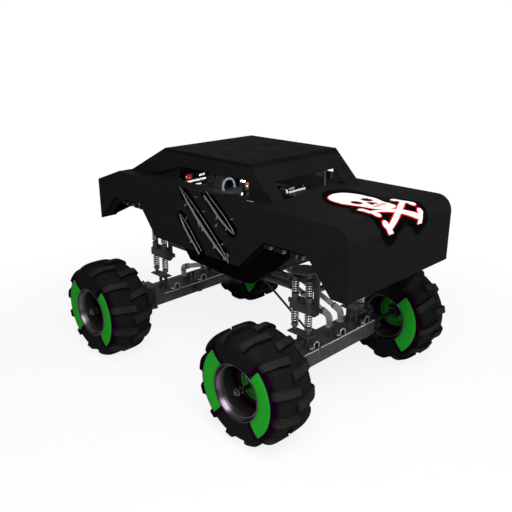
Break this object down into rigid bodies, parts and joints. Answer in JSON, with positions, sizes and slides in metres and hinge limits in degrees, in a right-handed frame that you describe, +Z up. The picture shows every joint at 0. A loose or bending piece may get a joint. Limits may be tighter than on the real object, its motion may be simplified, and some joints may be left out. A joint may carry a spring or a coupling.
{
  "type": "monster truck",
  "caption": "Full-size monster truck with a hollow black coupe body on a tube chassis, coil-over towers and steered axles on giant lugged tyres.",
  "frame": {"origin": "on the ground under the middle of the truck's overall length and width", "axes": "+X forward to the nose, +Y to the truck's left, +Z up"},
  "size_m": [5.662, 4.244, 3.6698],
  "materials": {
    "body_black": "moulded body shell in satin black",
    "carbon_weave": "woven carbon sheet, dark",
    "frame_grey": "dark grey painted steel",
    "floor_sheet": "dull sheet",
    "cast_grey": "cast, dark grey",
    "blower_case": "dark grey case with a bright ring",
    "shaft_steel": "brushed",
    "polished_tube": "polished tube",
    "spring_steel": "bright spring wire and dull bodies",
    "seat_shell": "moulded shell with dark padding",
    "grip_black": "matte",
    "tyre_rubber": "black rubber",
    "rim_polish": "polished barrel",
    "centre_green": "bright green paint"
  },
  "bodies": {
    "truck": {"nose_panel": "body_black", "hood": "body_black", "fender_left": "body_black", "fender_right": "body_black", "side_panel_left": "body_black", "side_panel_right": "body_black", "rear_deck": "body_black", "quarter_left": "body_black", "quarter_right": "body_black", "tail_panel": "body_black", "roof": "body_black", "windscreen_frame": "body_black", "backlight_panel": "body_black", "cabin_side_left": "body_black", "cabin_side_right": "body_black", "side_skirt_left": "carbon_weave", "side_skirt_right": "carbon_weave", "chassis_frame": "frame_grey", "roll_cage": "frame_grey", "front_shock_towers": "frame_grey", "rear_shock_towers": "frame_grey", "front_axle_beam": "frame_grey", "rear_axle_beam": "frame_grey", "floor_pan": "floor_sheet", "engine": "cast_grey", "transfer_case": "cast_grey", "blower": "blower_case", "driveshafts": "shaft_steel", "front_links": "polished_tube", "rear_links": "polished_tube", "front_coilovers": "spring_steel", "rear_coilovers": "spring_steel", "seat": "seat_shell", "steering_wheel": "grip_black"},
    "knuckle_front_left": {"knuckle_front_left": "frame_grey"},
    "knuckle_front_right": {"knuckle_front_right": "frame_grey"},
    "tie_rod_front": {"tie_rod_front": "shaft_steel"},
    "wheel_front_left": {"tyre_front_left": "tyre_rubber", "rim_front_left": "rim_polish", "wheel_centre_front_left": "centre_green"},
    "wheel_front_right": {"tyre_front_right": "tyre_rubber", "rim_front_right": "rim_polish", "wheel_centre_front_right": "centre_green"},
    "knuckle_rear_left": {"knuckle_rear_left": "frame_grey"},
    "knuckle_rear_right": {"knuckle_rear_right": "frame_grey"},
    "tie_rod_rear": {"tie_rod_rear": "shaft_steel"},
    "wheel_rear_left": {"tyre_rear_left": "tyre_rubber", "rim_rear_left": "rim_polish", "wheel_centre_rear_left": "centre_green"},
    "wheel_rear_right": {"tyre_rear_right": "tyre_rubber", "rim_rear_right": "rim_polish", "wheel_centre_rear_right": "centre_green"}
  },
  "joints": [
    {"name": "steer_front_left", "type": "hinge", "parent": "truck", "child": "knuckle_front_left", "pos_m": [1.602, 1.06, 0.84], "axis": [0, 0, 1], "range_deg": [-25, 25]},
    {"name": "steer_front_right", "type": "hinge", "parent": "truck", "child": "knuckle_front_right", "pos_m": [1.602, -1.06, 0.84], "axis": [0, 0, 1], "range_deg": [-25, 25]},
    {"name": "tie_rod_pivot_front", "type": "hinge", "parent": "knuckle_front_left", "child": "tie_rod_front", "pos_m": [1.272, 1.06, 0.722], "axis": [0, 0, 1], "range_deg": [-25, 25]},
    {"name": "spin_front_left", "type": "hinge", "parent": "knuckle_front_left", "child": "wheel_front_left", "pos_m": [1.714, 1.715, 0.84], "axis": [0, 1, 0], "continuous": true},
    {"name": "spin_front_right", "type": "hinge", "parent": "knuckle_front_right", "child": "wheel_front_right", "pos_m": [1.714, -1.715, 0.84], "axis": [0, 1, 0], "continuous": true},
    {"name": "steer_rear_left", "type": "hinge", "parent": "truck", "child": "knuckle_rear_left", "pos_m": [-1.855, 1.06, 0.84], "axis": [0, 0, 1], "range_deg": [-25, 25]},
    {"name": "steer_rear_right", "type": "hinge", "parent": "truck", "child": "knuckle_rear_right", "pos_m": [-1.855, -1.06, 0.84], "axis": [0, 0, 1], "range_deg": [-25, 25]},
    {"name": "tie_rod_pivot_rear", "type": "hinge", "parent": "knuckle_rear_left", "child": "tie_rod_rear", "pos_m": [-2.185, 1.06, 0.722], "axis": [0, 0, 1], "range_deg": [-25, 25]},
    {"name": "spin_rear_left", "type": "hinge", "parent": "knuckle_rear_left", "child": "wheel_rear_left", "pos_m": [-1.967, 1.715, 0.84], "axis": [0, 1, 0], "continuous": true},
    {"name": "spin_rear_right", "type": "hinge", "parent": "knuckle_rear_right", "child": "wheel_rear_right", "pos_m": [-1.967, -1.715, 0.84], "axis": [0, 1, 0], "continuous": true}
  ],
  "couplings": [
    {"joint": "steer_front_right", "follows": "steer_front_left", "ratio": 1},
    {"joint": "tie_rod_pivot_front", "follows": "steer_front_left", "ratio": -1},
    {"joint": "steer_rear_right", "follows": "steer_rear_left", "ratio": 1},
    {"joint": "tie_rod_pivot_rear", "follows": "steer_rear_left", "ratio": -1}
  ]
}
